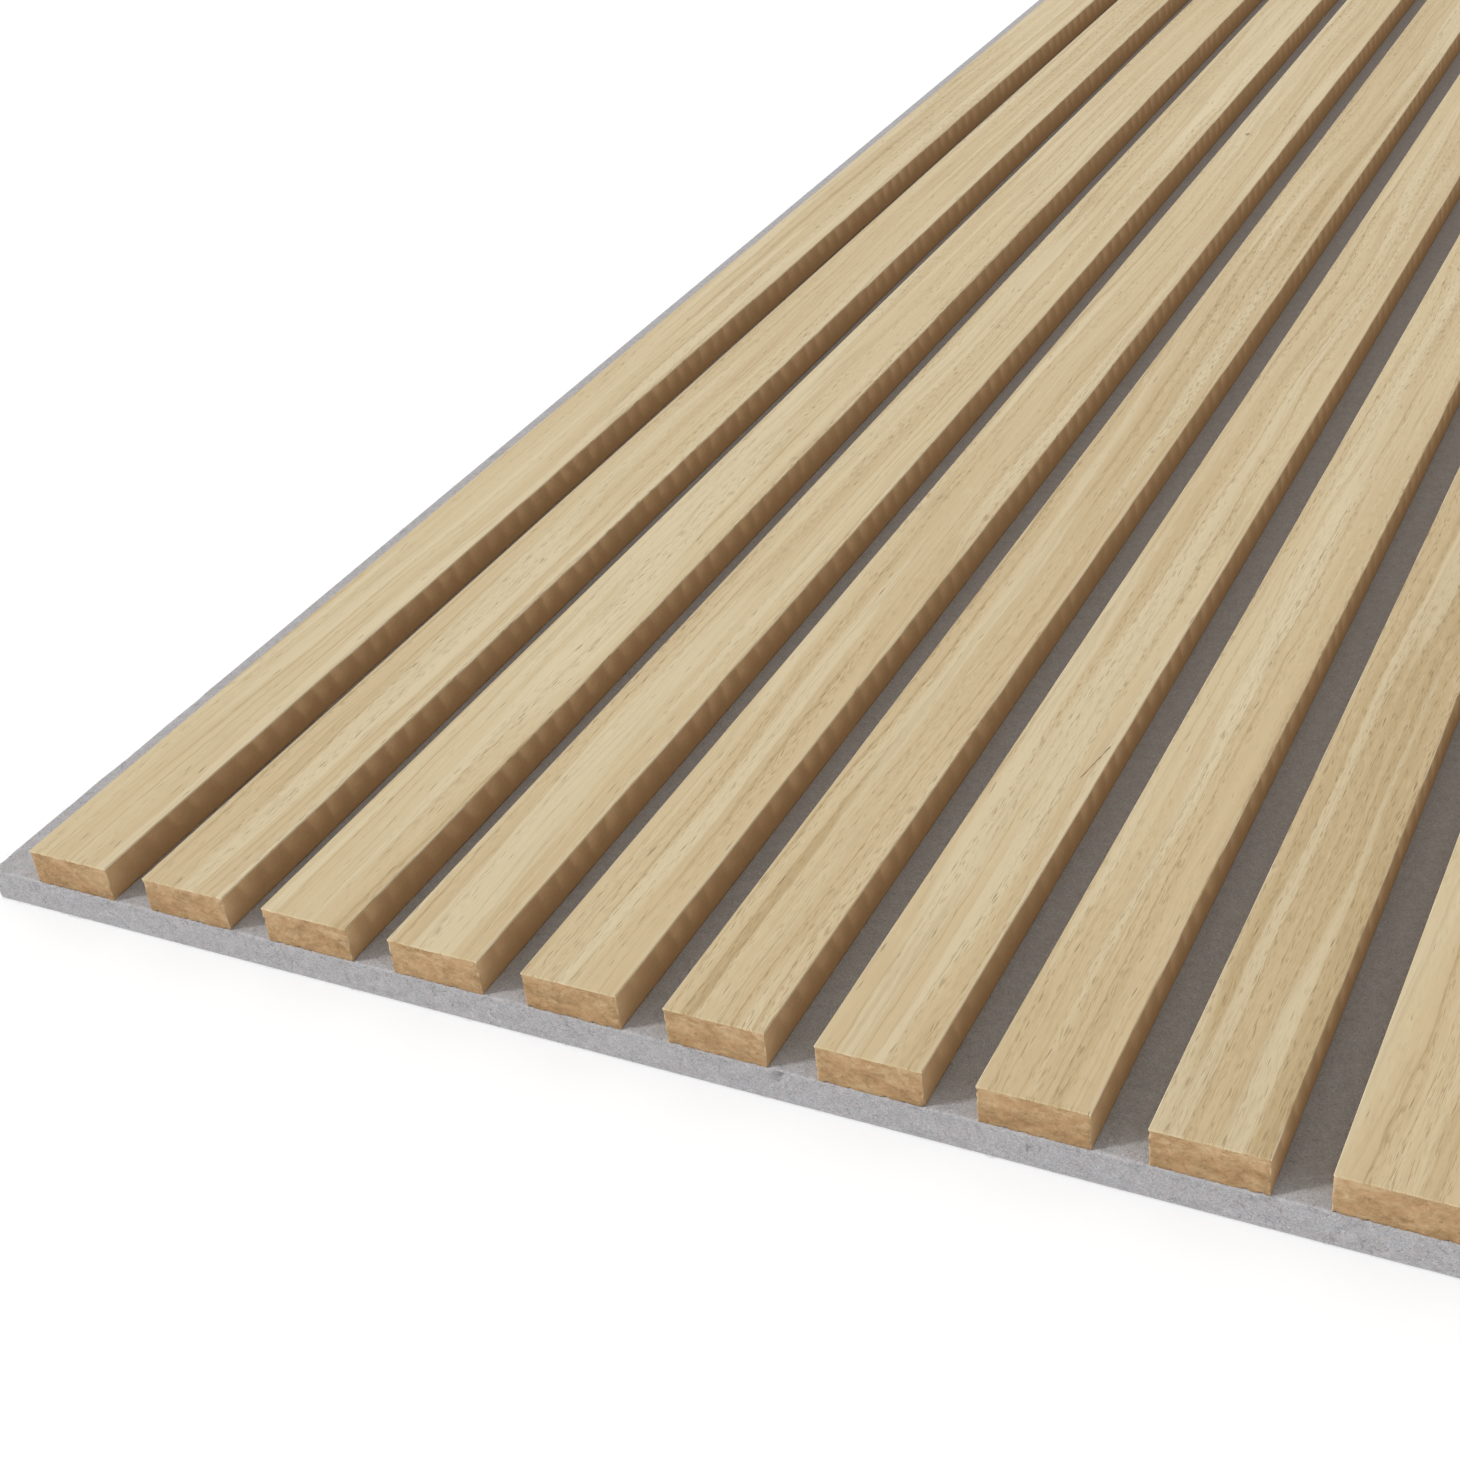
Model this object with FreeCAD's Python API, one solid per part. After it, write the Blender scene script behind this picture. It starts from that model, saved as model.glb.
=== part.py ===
import FreeCAD, Part
import os

# Acoustic slat wall panel: fibreboard slats faced with oak veneer, set side by side on a felt board.
# The slats are sawn from veneered board, so their sides and ends are bare fibreboard. Each slat is
# glued to the felt and stapled to it from behind.
# The panel lies on its back. The origin is the centre of the felt's back face, +X runs across the
# slats, +Y along them and +Z out of the panel's face. All sizes are in millimetres.

# Slats
SLAT_COUNT = 15
SLAT_WIDTH = 27.0
SLAT_HEIGHT = 11.0          # from the felt to the face, with the veneer
SLAT_GAP = 13.0             # bare felt between two slats
SLAT_LENGTH = 2400.0        # the felt is cut flush with the slats' ends
VENEER_THICKNESS = 0.6
EDGE_BREAK = 0.3            # sanded chamfer on the veneer's two long edges

# Felt board
FELT_THICKNESS = 10.0
FELT_LIP = 18.0             # felt that stands out beside the first slat

# Staples, driven through the felt into the cores
STAPLE_ROWS = 5             # staples along each slat
STAPLE_END_DISTANCE = 100.0  # first and last row to the slats' ends
STAPLE_CROWN = 12.0         # width over both legs
STAPLE_BITE = 6.0           # depth of the legs in the core
STAPLE_SINK = 0.4           # the crown's back, below the felt's back face
WIRE_WIDTH = 1.2            # along the slat
WIRE_THICKNESS = 0.7        # across the wire's bends

# Worked out from the sizes above
SLAT_PITCH = SLAT_WIDTH + SLAT_GAP
SLATS_WIDTH = SLAT_COUNT * SLAT_PITCH - SLAT_GAP
FELT_WIDTH = FELT_LIP + SLATS_WIDTH
FELT_LEFT = -FELT_WIDTH / 2
FRONT_END = -SLAT_LENGTH / 2
CORE_HEIGHT = SLAT_HEIGHT - VENEER_THICKNESS
FACE = FELT_THICKNESS + SLAT_HEIGHT
STAPLE_ROW_PITCH = (SLAT_LENGTH - 2 * STAPLE_END_DISTANCE) / (STAPLE_ROWS - 1)
LEG_TIP = FELT_THICKNESS + STAPLE_BITE
CROWN_FRONT = STAPLE_SINK + WIRE_THICKNESS

Vector = FreeCAD.Vector


def slat_center(index):
    """X of the middle of the slat with this index, counted from 0 at the felt's lip."""
    return FELT_LEFT + FELT_LIP + index * SLAT_PITCH + SLAT_WIDTH / 2


def staple_rows():
    """Y of each row of staples, from the front end to the far end."""
    return [FRONT_END + STAPLE_END_DISTANCE + row * STAPLE_ROW_PITCH for row in range(STAPLE_ROWS)]


def bar_along(outline, x, start, length):
    """A closed outline of (across, up) points, placed at x and drawn out along the slats."""
    points = [Vector(x + across, start, up) for across, up in outline]
    section = Part.Face(Part.makePolygon(points + points[:1]))
    return section.extrude(Vector(0, length, 0))


def staple(x, y, crown_back):
    """A staple with its crown across the slat and its legs up into the core."""
    outer = STAPLE_CROWN / 2
    inner = outer - WIRE_THICKNESS
    outline = [
        (-outer, crown_back),
        (outer, crown_back),
        (outer, LEG_TIP),
        (inner, LEG_TIP),
        (inner, CROWN_FRONT),
        (-inner, CROWN_FRONT),
        (-inner, LEG_TIP),
        (-outer, LEG_TIP),
    ]
    return bar_along(outline, x, y - WIRE_WIDTH / 2, WIRE_WIDTH)


def staples_of(index, crown_back):
    """The staples of one slat."""
    return [staple(slat_center(index), y, crown_back) for y in staple_rows()]


def make_core(index):
    """Fibreboard bar of one slat, with a hole for each staple leg in its underside."""
    corner = Vector(slat_center(index) - SLAT_WIDTH / 2, FRONT_END, FELT_THICKNESS)
    bar = Part.makeBox(SLAT_WIDTH, SLAT_LENGTH, CORE_HEIGHT, corner)
    return bar.cut(Part.makeCompound(staples_of(index, STAPLE_SINK))).Solids[0]


def make_veneer(index):
    """Oak veneer on the face of one core, as wide as the core."""
    half = SLAT_WIDTH / 2
    back = FACE - VENEER_THICKNESS
    outline = [
        (-half, back),
        (half, back),
        (half, FACE - EDGE_BREAK),
        (half - EDGE_BREAK, FACE),
        (EDGE_BREAK - half, FACE),
        (-half, FACE - EDGE_BREAK),
    ]
    return bar_along(outline, slat_center(index), FRONT_END, SLAT_LENGTH)


def make_felt():
    """Felt board under all the slats, pierced by the staples, whose crowns pull into its back."""
    board = Part.makeBox(FELT_WIDTH, SLAT_LENGTH, FELT_THICKNESS, Vector(FELT_LEFT, FRONT_END, 0))
    pierced = []
    for index in range(SLAT_COUNT):
        pierced.extend(staples_of(index, 0))
    return board.cut(Part.makeCompound(pierced)).Solids[0]


def make_staples():
    """All the staples, as separate solids in one group."""
    driven = []
    for index in range(SLAT_COUNT):
        driven.extend(staples_of(index, STAPLE_SINK))
    return Part.makeCompound(driven)


os.makedirs("parts", exist_ok=True)
make_felt().exportStep("parts/felt_backing.step")
for slat in range(SLAT_COUNT):
    number = slat + 1
    make_core(slat).exportStep(f"parts/slat_core_{number:02d}.step")
    make_veneer(slat).exportStep(f"parts/slat_veneer_{number:02d}.step")
make_staples().exportStep("parts/rear_staples.step")
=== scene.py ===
import math

import bpy
import numpy as np
from mathutils import Matrix, Vector


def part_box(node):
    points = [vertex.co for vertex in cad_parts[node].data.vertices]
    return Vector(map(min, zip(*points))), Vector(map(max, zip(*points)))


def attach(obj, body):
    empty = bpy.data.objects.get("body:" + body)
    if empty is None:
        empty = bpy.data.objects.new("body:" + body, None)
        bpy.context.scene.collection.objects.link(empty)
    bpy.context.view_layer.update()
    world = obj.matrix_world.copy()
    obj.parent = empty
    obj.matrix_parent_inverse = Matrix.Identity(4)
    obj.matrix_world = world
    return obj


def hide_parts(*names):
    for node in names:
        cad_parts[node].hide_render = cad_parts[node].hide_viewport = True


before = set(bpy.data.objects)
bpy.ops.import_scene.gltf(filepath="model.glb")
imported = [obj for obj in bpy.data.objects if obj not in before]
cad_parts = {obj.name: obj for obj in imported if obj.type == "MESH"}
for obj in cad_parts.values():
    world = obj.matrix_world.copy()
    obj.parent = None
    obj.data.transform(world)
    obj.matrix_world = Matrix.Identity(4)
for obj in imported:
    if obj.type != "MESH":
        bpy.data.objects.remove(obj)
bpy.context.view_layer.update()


# Felt board
# One sheet of light grey needled felt, cut to size with a blade. It carries all the slats, and its
# faces and edges are soft and hairy. Each staple pulls a shallow dimple into its back.

MM = 0.001
FELT_ARRIS = 0.8 * MM               # rounding of the soft cut edges
FELT_COLUMNS = 1.38 * MM            # grid across the board
FELT_FIRST_ROW = 0.3 * MM           # grid along the board, fine at both ends
FELT_WIDEST_ROW = 110 * MM
FELT_ROW_GROWTH = 1.3
FELT_LAYER = 1.6 * MM               # grid through the thickness
FELT_LAYER_GROWTH = 1.4
GROWING_STEPS = 80                  # the most steps of a grid that grow
TUFT_HEIGHT = 0.06 * MM             # unevenness of the surface: small tufts on slow swells
TUFT_LENGTH = 2.6 * MM
SWELL_HEIGHT = 0.04 * MM
SWELL_LENGTH = 11 * MM
BACK_CALM = 0.7                     # share of the unevenness that is pressed flat at the back
BACK_REACH = (0.5 * MM, 3 * MM)     # heights up to which that holds in full and at all
FACING = 0.5                        # the upper and the back face begin where outward is this upright
STAPLE_ROWS = 5
STAPLE_WIRE_WIDTH = 1.2 * MM        # along the slat
DIMPLE_DEPTH = 1.2 * MM
DIMPLE_FLOOR = (0.3 * MM, 0.9 * MM)  # its flat bottom, past the crown's ends and from the wire's middle
DIMPLE_REACH = 4 * MM
DENT_PLACE = -54.5 * MM             # a dent in the front edge, measured across the board
DENT_DROP = 1.8 * MM                # below the front face's upper arris
DENT_DEPTH = 1.7 * MM
DENT_FLOOR = 0.2 * MM
DENT_REACH = 2.2 * MM
GAP_SHADE_START = 12 * MM                # from here on, the felt in the gaps has its painted shade in full
# The felt's own greys, with painted shade in the hollows between the fibres.
FELT_GREYS = [                      # from the hollows to the tips of the fibres
    (0.34, (0.242, 0.235, 0.239, 1)),
    (0.5, (0.378, 0.368, 0.375, 1)),
    (0.66, (0.53, 0.518, 0.526, 1)),
]
FELT_REDDISH = (0.46, 0.355, 0.355, 1)
FELT_BLUISH = (0.31, 0.375, 0.44, 1)
SPECK_GREY = (0.15, 0.142, 0.144, 1)
PALE_HAIR_GREY = (0.66, 0.65, 0.655, 1)
# Painted highlight along the fuzzy arrises.
ARRIS_HIGHLIGHT_GREY = (0.54, 0.53, 0.533, 1)
# Painted highlight on the upper face.
UPPER_HIGHLIGHT_GREY = (0.62, 0.61, 0.615, 1)
# Painted shade for the felt in the gaps between the slats.
GAP_SHADE_TINT = (0.775, 0.77, 0.715, 1)
HIDDEN_SHARE = 0.1                  # what the felt under a slat keeps of its width on the bake map
FELT_MAP = [                        # runs and part of the bake map: top, bottom, right, left, front, back
    (2, 0.0, 0.42, 0.0, 1.0),
    (2, 0.42, 0.9, 0.0, 1.0),
    (1, 0.9, 0.92, 0.0, 1.0),
    (1, 0.92, 0.94, 0.0, 1.0),
    (1, 0.94, 0.98, 0.0, 1.0),
    (1, 0.98, 1.0, 0.0, 1.0),
]
MAP_MARGIN = 0.02                   # free share of each run on a bake map, at both sides
MAP_EDGE = 0.004                    # free share at both ends of a run


def spaced(low, high, first, growth, widest):
    """Places from low to high. From both ends the steps start at first and grow by a constant
    factor up to widest, and all are stretched alike so that they meet in the middle."""
    half = (high - low) / 2
    number = np.arange(int(half / first) + 2)
    steps = np.minimum(first * growth ** np.minimum(number, GROWING_STEPS), widest)
    reach = np.cumsum(steps)
    reach = reach[: np.searchsorted(reach, half) + 1]
    reach = np.concatenate([[0], reach * half / reach[-1]])
    return np.concatenate([low + reach, high - reach[-2::-1]])


def box_skin(xs, ys, zs):
    """Points, four-cornered faces and each face's side of the outer skin of a box lattice. A point of
    the skin is (xs[i], ys[j], zs[k]) with one of i, j, k at its first or last value. The sides are
    numbered top, bottom, right, left, front, back."""
    numbers = np.arange(len(xs) * len(ys) * len(zs)).reshape(len(xs), len(ys), len(zs))
    sides = [
        numbers[:, :, -1],
        numbers[:, :, 0].T,
        numbers[-1],
        numbers[0].T,
        numbers[:, 0],
        numbers[:, -1].T,
    ]
    faces = [
        np.stack([side[:-1, :-1], side[1:, :-1], side[1:, 1:], side[:-1, 1:]], -1).reshape(-1, 4)
        for side in sides
    ]
    face_sides = np.repeat(np.arange(len(sides)), [len(part) for part in faces])
    used, faces = np.unique(np.concatenate(faces), return_inverse=True)
    points = np.stack(np.meshgrid(xs, ys, zs, indexing="ij"), -1).reshape(-1, 3)
    return points[used], faces.reshape(-1, 4), face_sides


def bake_places(lattice, faces, face_sides, plan, top_shares=None):
    """Each corner's place on the map that the looks are baked through. The plan gives each side of a
    box skin a number of runs and its part of the map (left, right, bottom, top). The side's length is
    cut into that many runs, which lie next to each other in the part. Its width is spread evenly
    across a run, or at the top by a table of places and their shares of the width."""
    places = np.empty(faces.shape + (2,))
    for side, (runs, left, right, bottom, top) in enumerate(plan):
        chosen = face_sides == side
        corners = lattice[faces[chosen]]
        along = corners[..., 0 if side > 3 else 1]
        across = corners[..., 0 if side < 2 else 2]
        lines = np.unique(along)
        wanted = np.linspace(lines[0], lines[-1], runs + 1)
        cuts = lines[np.abs(lines[:, None] - wanted).argmin(0)]
        run = np.searchsorted(cuts, along.min(1), "right") - 1
        share = (along - cuts[run][:, None]) / (cuts[run + 1] - cuts[run])[:, None]
        wide = (across - across.min()) / np.ptp(across)
        if side == 0 and top_shares is not None:
            wide = np.interp(across, *top_shares)
        column = (right - left) / runs
        places[chosen, :, 0] = left + column * (run[:, None] + MAP_MARGIN + (1 - 2 * MAP_MARGIN) * wide)
        places[chosen, :, 1] = bottom + (top - bottom) * (MAP_EDGE + (1 - 2 * MAP_EDGE) * share)
    return places


def round_arrises(points, low, high, radius):
    """Points of a box skin moved onto the box with rounded edges, and their outward directions.
    Each point is seen from the nearest place of a box smaller by the radius all round, and is put
    at the radius from there."""
    inner = np.clip(points, low + radius, high - radius)
    outward = points - inner
    outward /= np.linalg.norm(outward, axis=1, keepdims=True)
    return inner + outward * radius, outward


def unevenness(points, wavelength, seed, waves=28):
    """Smooth noise of unit spread: a sum of plane sine waves of random heading and phase, with
    lengths from 0.7 to 1.4 times the given one."""
    draw = np.random.default_rng(seed)
    heading = draw.normal(size=(3, waves))
    heading /= np.linalg.norm(heading, axis=0)
    number = 2 * np.pi / (wavelength * draw.uniform(0.7, 1.4, waves))
    phase = draw.uniform(0, 2 * np.pi, waves)
    return np.sin(points @ (heading * number) + phase).sum(1) / np.sqrt(waves / 2)


def fade(distance, full, none):
    """1 up to the distance full and 0 from the distance none, with the cubic 3t^2 - 2t^3 between."""
    share = np.clip((none - distance) / (none - full), 0, 1)
    return share * share * (3 - 2 * share)


def add_piece(name, points, *faces):
    """A mesh object at the origin, from points and arrays of faces with equal numbers of corners."""
    mesh = bpy.data.meshes.new(name)
    mesh.vertices.add(len(points))
    mesh.vertices.foreach_set("co", points.astype(np.float32).ravel())
    corners = np.concatenate([part.ravel() for part in faces]).astype(np.int32)
    sizes = np.concatenate([np.full(len(part), part.shape[1]) for part in faces])
    starts = np.concatenate([[0], np.cumsum(sizes)[:-1]]).astype(np.int32)
    mesh.loops.add(len(corners))
    mesh.loops.foreach_set("vertex_index", corners)
    mesh.polygons.add(len(sizes))
    mesh.polygons.foreach_set("loop_start", starts)
    mesh.update(calc_edges=True)
    mesh.shade_smooth()
    piece = bpy.data.objects.new(name, mesh)
    bpy.context.scene.collection.objects.link(piece)
    return piece


def add_bake_map(piece, *places):
    """Gives a piece the map that its looks are baked through, from the corners' places in face order."""
    layer = piece.data.uv_layers.new(name="OFBake")
    corners = np.concatenate([part.reshape(-1, 2) for part in places])
    layer.uv.foreach_set("vector", corners.astype(np.float32).ravel())


def mark_points(piece, name, kind, values):
    """Stores one value, or one vector, for each point of a piece, for its material to read."""
    attribute = piece.data.attributes.new(name, kind, "POINT")
    field = "vector" if values.ndim == 2 else "value"
    attribute.data.foreach_set(field, values.astype(np.float32).ravel())


class Signal:
    """One socket of a material's node tree. Arithmetic on signals and numbers adds Math nodes, and
    node() adds a node of any other kind."""

    def __init__(self, tree, socket=None):
        self.tree = tree
        self.socket = socket

    def node(self, kind, settings=None, inputs=None, output=0):
        """An output of a new node. Its settings come first, a ramp's stops among them, and then
        each socket, by name or number, gets its value or its link."""
        made = self.tree.nodes.new(kind)
        for name, value in (settings or {}).items():
            if name == "stops":
                ends = made.color_ramp.elements
                ends[0].position, ends[0].color = value[0]
                ends[1].position, ends[1].color = value[-1]
                for place, colour in value[1:-1]:
                    ends.new(place).color = colour
            else:
                setattr(made, name, value)
        for name, value in (inputs or {}).items():
            if isinstance(value, Signal):
                self.tree.links.new(value.socket, made.inputs[name])
            else:
                made.inputs[name].default_value = value
        return Signal(self.tree, made.outputs[output] if made.outputs else None)

    def math(self, operation, *values):
        """A Math node on signals and numbers."""
        return self.node("ShaderNodeMath", {"operation": operation}, dict(enumerate(values)))

    def __add__(self, other):
        return self.math("ADD", self, other)

    def __radd__(self, other):
        return self.math("ADD", other, self)

    def __sub__(self, other):
        return self.math("SUBTRACT", self, other)

    def __rsub__(self, other):
        return self.math("SUBTRACT", other, self)

    def __mul__(self, other):
        return self.math("MULTIPLY", self, other)

    def __rmul__(self, other):
        return self.math("MULTIPLY", other, self)

    def __abs__(self):
        return self.math("ABSOLUTE", self)

    def step(self, low, high):
        """0 at low and 1 at high, with a smooth step between. High may be the smaller one."""
        settings = {"interpolation_type": "SMOOTHSTEP"}
        return self.node("ShaderNodeMapRange", settings, {"Value": self, "From Min": low, "From Max": high})

    def mix(self, first, second, blend="MIX"):
        """A colour from first to second, with this signal as the share of the second."""
        settings = {"data_type": "RGBA", "blend_type": blend}
        return self.node("ShaderNodeMix", settings, {0: self, 6: first, 7: second}, 2)

    def cells(self, x, y, z):
        """This place, counted in cells of the given size along each axis."""
        return self.node("ShaderNodeVectorMath", {"operation": "DIVIDE"}, {0: self, 1: (x, y, z)})

    def moved(self, x, y, z):
        """This place with a number or a signal added along each axis."""
        offset = self.node("ShaderNodeCombineXYZ", {}, {"X": x, "Y": y, "Z": z})
        return self.node("ShaderNodeVectorMath", {"operation": "ADD"}, {0: self, 1: offset})

    def noise(self, detail=2.0, roughness=0.5, distortion=0.0):
        """Noise from 0 to 1 at this place, with one cell to a unit."""
        inputs = {"Vector": self, "Scale": 1.0, "Detail": detail, "Roughness": roughness}
        inputs["Distortion"] = distortion
        return self.node("ShaderNodeTexNoise", {"noise_dimensions": "3D"}, inputs, "Fac")

    def part(self, axis):
        """One coordinate of this place or direction."""
        return self.node("ShaderNodeSeparateXYZ", {}, {"Vector": self}, axis)

    def ramp(self, stops):
        """A colour that goes through the stops as this signal rises."""
        return self.node("ShaderNodeValToRGB", {"stops": stops}, {"Fac": self}, "Color")

    def bump(self, strength, distance):
        """The direction of a surface that has this signal as its height."""
        inputs = {"Strength": strength, "Distance": distance, "Height": self}
        return self.node("ShaderNodeBump", {}, inputs)

    def own(self, output):
        """The piece's own place, under the name Object, or its outward direction, under Normal."""
        return self.node("ShaderNodeTexCoord", {}, {}, output)

    def stored(self, name, output="Fac"):
        """The value or vector that is stored for the piece's points under this name."""
        return self.node("ShaderNodeAttribute", {"attribute_name": name}, {}, output)

    def finish(self, inputs):
        """Ends a material with the shader that has these inputs."""
        surface = self.node("ShaderNodeBsdfPrincipled", {}, inputs)
        self.node("ShaderNodeOutputMaterial", {}, {"Surface": surface})


def new_material(name):
    """An empty material, and a signal to start its nodes from."""
    material = bpy.data.materials.new(name)
    material.use_nodes = True
    material.node_tree.nodes.clear()
    return material, Signal(material.node_tree)


def felt_material():
    """Grey felt: soft tufts, curled fibres, dark specks and single pale hairs, a little bluer or redder
    from place to place, with painted shade in the hollows between the fibres. A painted highlight makes it
    paler on the upper face and along the fuzzy arrises, and painted shade makes it duller between the
    slats, fading out at the front edge. All of it is noise in the board's own place, and the fibres stand
    out as bump."""
    material, start = new_material("grey_felt")
    place = start.own("Object")
    upper_face_highlight = start.own("Normal").part("Z").step(0.4, 0.8)
    arris = start.stored("arris")
    dusty = start.stored("dusty")
    tufts = place.cells(3.2 * MM, 3.2 * MM, 3.2 * MM).noise(2.0, 0.55)
    tint = place.moved(0, 0.9, 0.2).cells(3 * MM, 3 * MM, 3 * MM).noise(1.0).step(0.35, 0.65)
    curls = place.cells(1.3 * MM, 1.3 * MM, 1.0 * MM).noise(3.0, 0.6, 2.0)
    grains = place.cells(0.5 * MM, 0.5 * MM, 0.4 * MM).noise(1.0, 0.5, 1.2)
    hair_place = place.moved(0.3, 0.1, 0).cells(0.9 * MM, 0.9 * MM, 0.4 * MM)
    pale_hair = hair_place.noise(2.0, 0.5, 3.0).step(0.58, 0.7)
    speck_place = place.moved(0.7, 0.4, 0).cells(0.75 * MM, 0.75 * MM, 0.6 * MM)
    dark_speck = speck_place.noise(2.0, 0.5, 2.0).step(0.58, 0.7)
    height = curls * 0.5 + grains * 0.5
    # Darker where the fibres lie low: painted shade in the hollows, over the felt's own greys.
    colour = (tufts * 0.2 + height * 0.8).ramp(FELT_GREYS)
    colour = (tint * 0.1).mix(colour, FELT_REDDISH)
    colour = ((1 - tint) * 0.1).mix(colour, FELT_BLUISH)
    colour = (dark_speck * 0.65).mix(colour, SPECK_GREY)
    colour = (pale_hair * 0.5).mix(colour, PALE_HAIR_GREY)
    # Painted highlight along the fuzzy arrises.
    colour = (arris * 0.3).mix(colour, ARRIS_HIGHLIGHT_GREY)
    # Painted highlight: the upper face is paler.
    colour = (upper_face_highlight * 0.13).mix(colour, UPPER_HIGHLIGHT_GREY)
    # Painted shade on the felt between the slats.
    colour = dusty.mix(colour, GAP_SHADE_TINT, "MULTIPLY")
    inputs = {
        "Base Color": colour,
        "Roughness": 1.0 - pale_hair * 0.1,
        "Specular IOR Level": 0.15,
        "Sheen Weight": 0.2,
        "Sheen Roughness": 0.6,
        "Normal": height.bump(0.7, 0.5 * MM),
    }
    start.finish(inputs)
    return material


felt_low, felt_high = np.array(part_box("felt_backing"))
staple_low, staple_high = np.array(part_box("rear_staples"))
slat_count = sum(node.startswith("slat_core_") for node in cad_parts)
slat_names = [f"{number:02d}" for number in range(1, slat_count + 1)]
slat_centers = np.array([np.array(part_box("slat_core_" + name))[:, 0].mean() for name in slat_names])
wire_half = STAPLE_WIRE_WIDTH / 2
staple_rows = np.linspace(staple_low[1] + wire_half, staple_high[1] - wire_half, STAPLE_ROWS)
crown_half = staple_high[0] - slat_centers[-1]
slat_half = np.ptp(np.array(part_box("slat_core_01"))[:, 0]) / 2


def felt_skin():
    """The board as a rounded box skin, its bake map, and for each point how far it is on an arris, for the
    painted highlight there, and how much painted shade it takes in a gap between slats. Fibre unevenness
    moves each point outwards or inwards, less near the back and there only inwards, where every staple also
    draws in a dimple as the product of a fade across and a fade along. A dent fades out from one place of
    the front face."""
    dimple_steps = np.array([-1, -0.5, -0.2, 0.2, 0.5, 1]) * DIMPLE_REACH
    rows = spaced(felt_low[1], felt_high[1], FELT_FIRST_ROW, FELT_ROW_GROWTH, FELT_WIDEST_ROW)
    rows = np.sort(np.concatenate([rows, (staple_rows[:, None] + dimple_steps).ravel()]))
    columns = spaced(felt_low[0], felt_high[0], FELT_FIRST_ROW, FELT_ROW_GROWTH, FELT_COLUMNS)
    layers = spaced(felt_low[2], felt_high[2], FELT_FIRST_ROW, FELT_LAYER_GROWTH, FELT_LAYER)
    lattice, faces, face_sides = box_skin(columns, rows, layers)
    slat_edges = (slat_centers[:, None] + [-slat_half, slat_half]).ravel()
    stations = np.concatenate([felt_low[:1], slat_edges, felt_high[:1]])
    widths = np.diff(stations)
    widths[1::2] *= HIDDEN_SHARE
    top_shares = (stations, np.concatenate([[0], np.cumsum(widths)]) / widths.sum())
    places = bake_places(lattice, faces, face_sides, FELT_MAP, top_shares)
    points, outward = round_arrises(lattice, felt_low, felt_high, FELT_ARRIS)
    relief = TUFT_HEIGHT * unevenness(points, TUFT_LENGTH, seed=1)
    relief += SWELL_HEIGHT * unevenness(points, SWELL_LENGTH, seed=2)
    relief *= 1 - BACK_CALM * fade(points[:, 2] - felt_low[2], *BACK_REACH)
    back = outward[:, 2] < -FACING
    relief[back] = -np.abs(relief[back])
    across = np.abs(points[:, :1] - slat_centers).min(1) - crown_half
    along = np.abs(points[:, 1:2] - staple_rows).min(1)
    dimple = fade(across, DIMPLE_FLOOR[0], DIMPLE_REACH) * fade(along, DIMPLE_FLOOR[1], DIMPLE_REACH)
    relief -= back * DIMPLE_DEPTH * dimple
    dent_at = np.array([DENT_PLACE, felt_low[1], felt_high[2] - DENT_DROP])
    relief -= DENT_DEPTH * fade(np.linalg.norm(points - dent_at, axis=1), DENT_FLOOR, DENT_REACH)
    beside = np.abs(outward)
    arris = 2 * (beside[:, 0] * beside[:, 1] + beside[:, 1] * beside[:, 2] + beside[:, 2] * beside[:, 0])
    # Painted shade on the felt between the slats, rising from nothing at the front edge to full 12 mm in.
    gap = (points[:, 0] > slat_edges[0]) & (outward[:, 2] > FACING)
    dusty = gap * fade(felt_low[1] + GAP_SHADE_START - points[:, 1], 0, GAP_SHADE_START)
    return points + outward * relief[:, None], faces, places, np.minimum(arris, 1), dusty


felt_points, felt_faces, felt_places, felt_arris, felt_gap_shade = felt_skin()
felt_board = add_piece("felt_board", felt_points, felt_faces)
add_bake_map(felt_board, felt_places)
mark_points(felt_board, "arris", "FLOAT", felt_arris)
mark_points(felt_board, "dusty", "FLOAT", felt_gap_shade)
felt_grey = felt_material()
felt_board.data.materials.append(felt_grey)
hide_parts("felt_backing")
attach(felt_board, "root")


# Loose hairs of the felt
# Single polyester fibres that stand out of the cut edges and lie curled on the faces. They are part
# of the felt, needled into it at their roots.

HAIR_RADIUS = 0.05 * MM
HAIR_STATIONS = 7
HAIR_SIDES = 3
HAIR_LENGTHS = (1.2, 4.0)           # shortest and longest, in mm
HAIR_BOW = 0.22                     # spread of the sideways bow, as a share of the length
HAIR_SWING = 1.3                    # half turns of the bow's sine
HAIR_LIFT = 0.35 * MM               # highest rise
HAIR_LEAST_LIFT = 0.1               # least share of it, before it is squared
HAIR_TAPER = 0.67
FRONT_HAIRS = 700
ARRIS_HAIRS = 420                   # on the front face's upper arris
NEAR_LIP_HAIRS = 260
EDGE_HAIRS = 160                    # along the whole lip, and on each of the other three edges
NEAR_GAP_HAIRS = 30                 # in each gap, near the front
GAP_HAIRS = 14                      # in each gap, along the whole of it
NEAR_LIP = 300 * MM
NEAR_GAP = 25 * MM
GAP_HALF = 6 * MM
ROOT_MARGIN = 1 * MM                # lowest roots above the back, and lowest arris roots below the face
HAIR_GREYS = [
    (0.3, (0.2, 0.19, 0.195, 1)),
    (0.48, (0.46, 0.445, 0.45, 1)),
    (0.7, (0.74, 0.73, 0.74, 1)),
]
TUBE_WALL = (0.06, 0.24)            # a tube's wall in its cell of the bake map: lower corner and size
TUBE_WALL_SIZE = (0.88, 0.7)
TUBE_DISC = 0.07                    # radius of its two ends there, and their middles
TUBE_DISC_PLACES = ([0.2, 0.1], [0.8, 0.1])


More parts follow.
